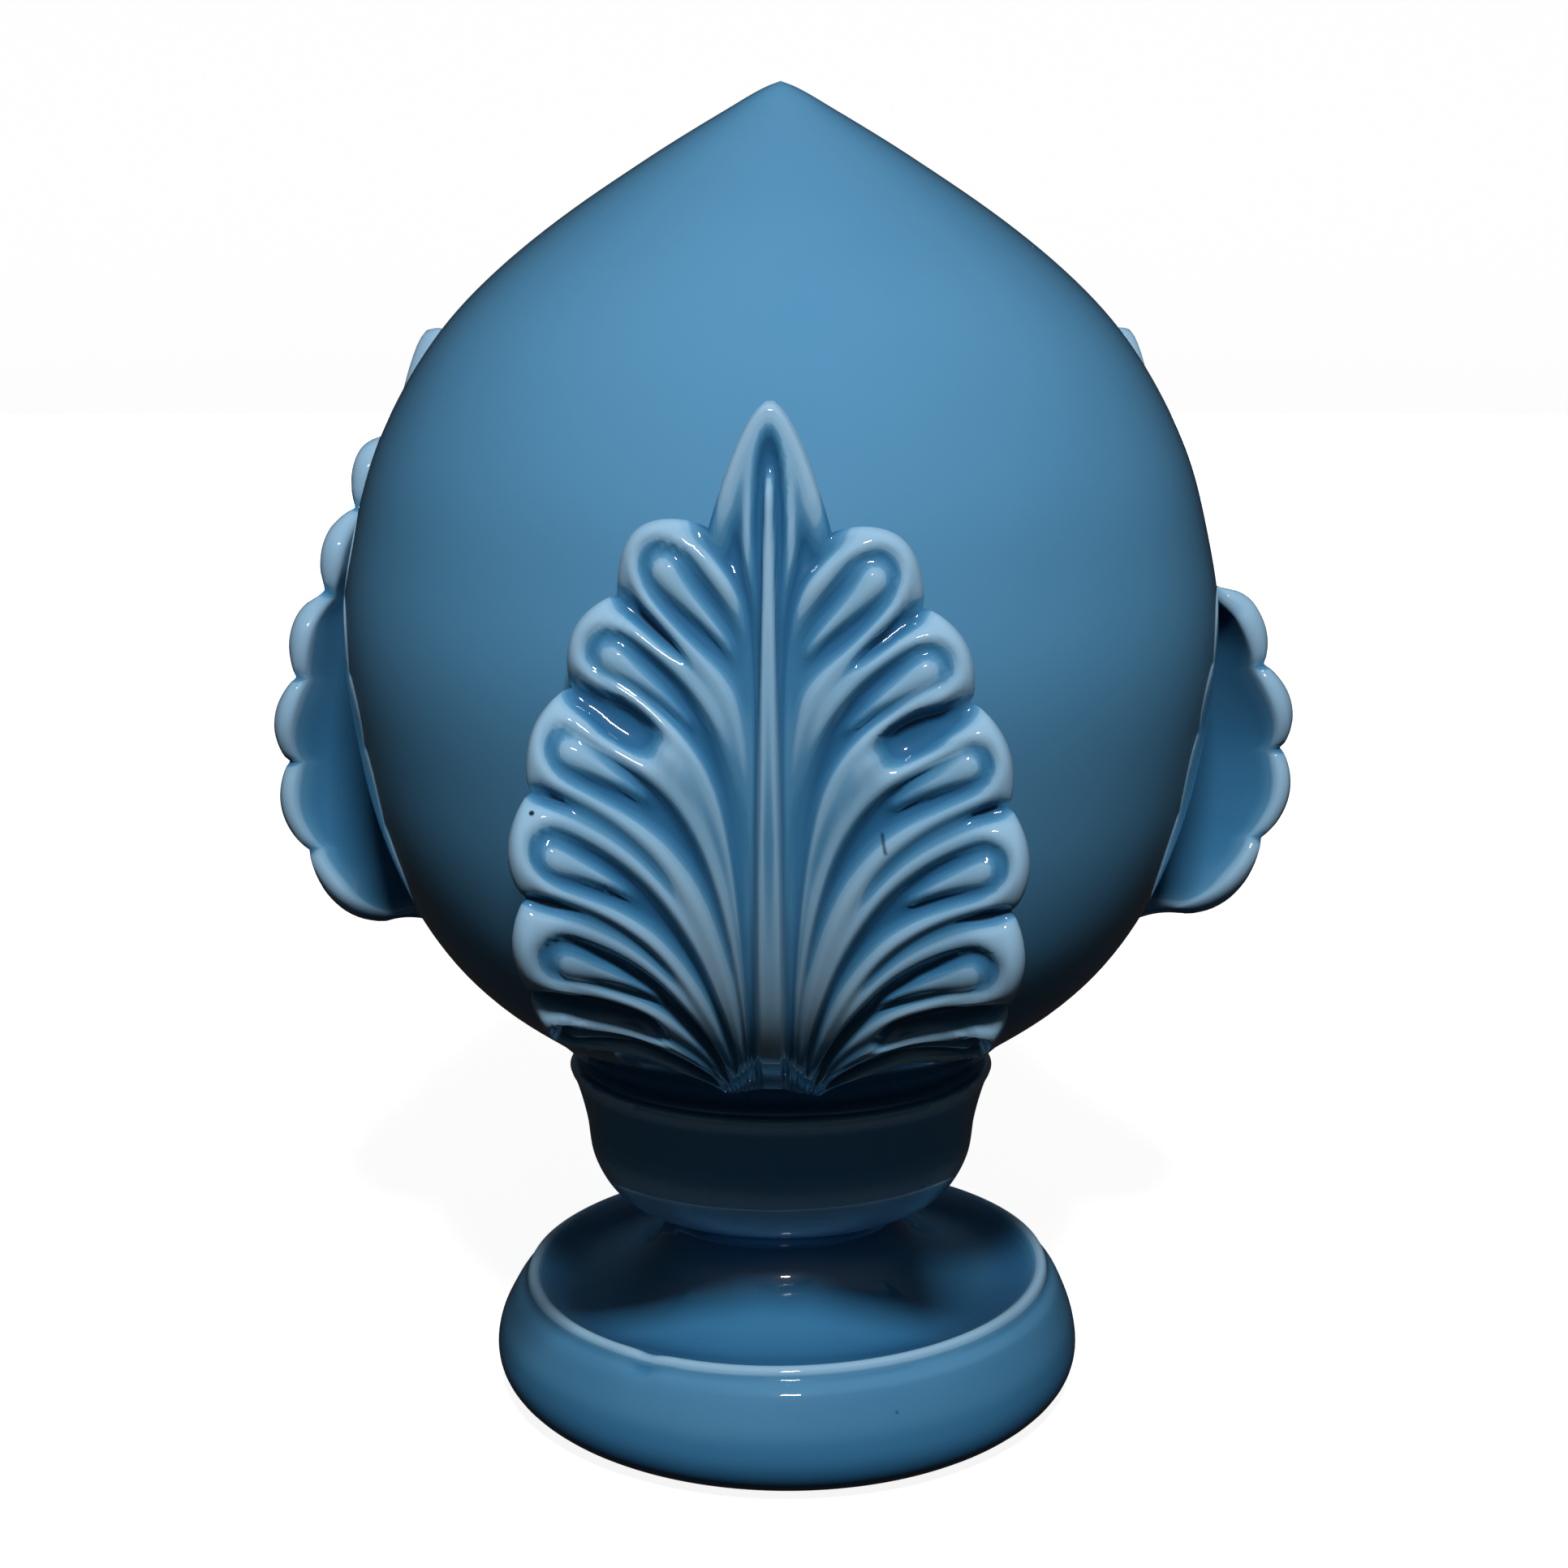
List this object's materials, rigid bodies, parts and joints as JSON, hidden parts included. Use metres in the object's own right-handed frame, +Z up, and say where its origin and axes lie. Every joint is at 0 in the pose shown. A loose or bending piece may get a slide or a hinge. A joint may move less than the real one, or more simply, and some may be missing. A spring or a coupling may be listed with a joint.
{
  "type": "ceramic pumo",
  "caption": "Blue glazed ceramic pumo: a pointed bud clasped by carved, scalloped leaves, on a cup neck and a round turned foot.",
  "frame": {"origin": "middle of the flat underside of the foot", "axes": "+Z up through the tip of the bud, -Y towards the front leaf, +X to the right seen from the front"},
  "size_m": [0.1943, 0.1714, 0.25],
  "materials": {
    "blue_glaze": "gloss"
  },
  "bodies": {
    "root": {"pumo": "blue_glaze"}
  },
  "joints": []
}
